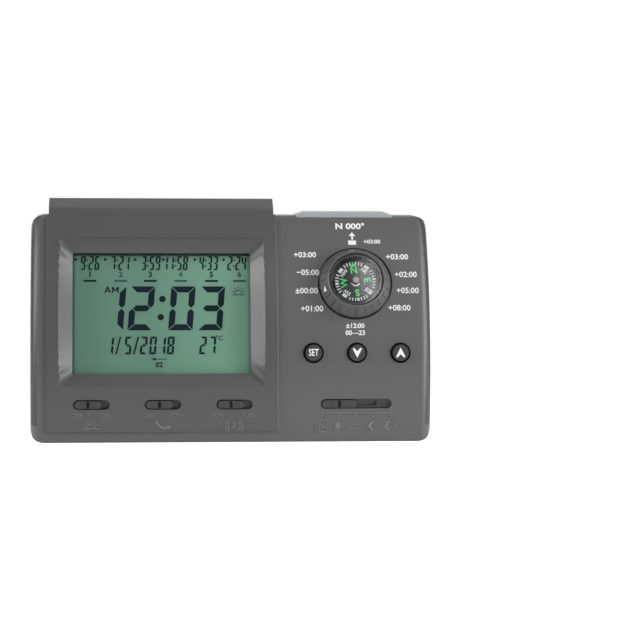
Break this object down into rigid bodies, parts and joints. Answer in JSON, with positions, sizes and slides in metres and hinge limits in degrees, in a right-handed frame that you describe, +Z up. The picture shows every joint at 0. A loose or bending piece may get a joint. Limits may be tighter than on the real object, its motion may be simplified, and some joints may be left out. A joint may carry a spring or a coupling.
{
  "type": "azan clock",
  "caption": "Curved-front azan table clock: bevelled display strap with hood, ring selector round a compass, push buttons, slide switches, top snooze bar, hinged battery door.",
  "frame": {"origin": "centre of the resting base, at the table's height", "axes": "+Z up, front with display and selector towards -Y, +X to the viewer's right"},
  "size_m": [0.15, 0.0532, 0.0904],
  "materials": {
    "casing_plastic": "satin moulded",
    "dark_plastic": "matt moulded",
    "button_plastic": "satin moulded",
    "clear_plastic": "clear",
    "lcd_green": "satin polariser",
    "card_black": "matt printed",
    "white_plastic": "moulded",
    "board_green": "solder mask",
    "rubber_grey": "conductive strip",
    "bright_metal": "plated",
    "cell_jacket": "plain jacket"
  },
  "bodies": {
    "casing": {"alarm_slide_switch": "bright_metal", "backlight_panel": "white_plastic", "battery_1": "cell_jacket", "battery_2": "cell_jacket", "call_slide_switch": "bright_metal", "case_screw_1": "bright_metal", "case_screw_2": "bright_metal", "case_screw_3": "bright_metal", "case_screw_4": "bright_metal", "contact_bridge": "bright_metal", "contact_negative": "bright_metal", "contact_positive": "bright_metal", "contact_spring_1": "bright_metal", "contact_spring_2": "bright_metal", "contact_strip": "rubber_grey", "controller_chip": "dark_plastic", "display_surround": "casing_plastic", "display_window": "clear_plastic", "down_switch": "dark_plastic", "front_case": "casing_plastic", "key_board": "board_green", "lcd_glass": "lcd_green", "lcd_holder": "white_plastic", "main_board": "board_green", "mode_slide_switch": "bright_metal", "rear_case": "casing_plastic", "selector_board": "board_green", "set_switch": "dark_plastic", "slide_board": "board_green", "snooze_slide_switch": "bright_metal", "snooze_switch": "dark_plastic", "speaker_cone": "dark_plastic", "speaker_frame": "bright_metal", "speaker_magnet": "bright_metal", "top_hood": "casing_plastic", "up_switch": "dark_plastic"},
    "city_selector": {"selector_ring": "casing_plastic", "selector_rotor": "white_plastic", "compass_cup": "dark_plastic", "compass_dome": "clear_plastic", "compass_pivot": "bright_metal"},
    "compass_card": {"compass_card": "card_black"},
    "set_button": {"set_button": "casing_plastic", "set_plunger": "white_plastic"},
    "down_button": {"down_button": "casing_plastic", "down_plunger": "white_plastic"},
    "up_button": {"up_button": "casing_plastic", "up_plunger": "white_plastic"},
    "alarm_slide": {"alarm_slide_knob": "casing_plastic", "alarm_slide_lever": "white_plastic"},
    "call_slide": {"call_slide_knob": "casing_plastic", "call_slide_lever": "white_plastic"},
    "snooze_slide": {"snooze_slide_knob": "casing_plastic", "snooze_slide_lever": "white_plastic"},
    "mode_slide": {"mode_slide_knob": "casing_plastic", "mode_slide_lever": "white_plastic"},
    "snooze_button": {"snooze_light_button": "button_plastic", "snooze_plunger": "white_plastic"},
    "battery_door": {"battery_door": "casing_plastic"}
  },
  "joints": [
    {"name": "selector_turn", "type": "hinge", "parent": "casing", "child": "city_selector", "pos_m": [0.0464, -0.01795, 0.05945], "axis": [0, -0.9353, 0.3538], "continuous": true},
    {"name": "compass_turn", "type": "hinge", "parent": "city_selector", "child": "compass_card", "pos_m": [0.0464, -0.01795, 0.05945], "axis": [0, -0.9353, 0.3538], "continuous": true},
    {"name": "set_press", "type": "slide", "parent": "casing", "child": "set_button", "axis": [0, 0.9917, -0.1287], "range_m": [0, 0.0008], "stiffness_N_per_m": 400, "springref_m": -0.0015},
    {"name": "down_press", "type": "slide", "parent": "casing", "child": "down_button", "axis": [0, 0.9917, -0.1287], "range_m": [0, 0.0008], "stiffness_N_per_m": 400, "springref_m": -0.0015},
    {"name": "up_press", "type": "slide", "parent": "casing", "child": "up_button", "axis": [0, 0.9917, -0.1287], "range_m": [0, 0.0008], "stiffness_N_per_m": 400, "springref_m": -0.0015},
    {"name": "alarm_slide_travel", "type": "slide", "parent": "casing", "child": "alarm_slide", "axis": [1, 0, 0], "range_m": [0, 0.0026]},
    {"name": "call_slide_travel", "type": "slide", "parent": "casing", "child": "call_slide", "axis": [1, 0, 0], "range_m": [0, 0.0026]},
    {"name": "snooze_slide_travel", "type": "slide", "parent": "casing", "child": "snooze_slide", "axis": [1, 0, 0], "range_m": [0, 0.0026]},
    {"name": "mode_slide_travel", "type": "slide", "parent": "casing", "child": "mode_slide", "axis": [1, 0, 0], "range_m": [0, 0.0128]},
    {"name": "snooze_press", "type": "slide", "parent": "casing", "child": "snooze_button", "axis": [0, 0, -1], "range_m": [0, 0.001], "stiffness_N_per_m": 600, "springref_m": -0.0015},
    {"name": "battery_door_swing", "type": "hinge", "parent": "casing", "child": "battery_door", "pos_m": [0.02, 0.02543, 0.0062], "axis": [-1, 0, 0], "range_deg": [0, 90]}
  ]
}
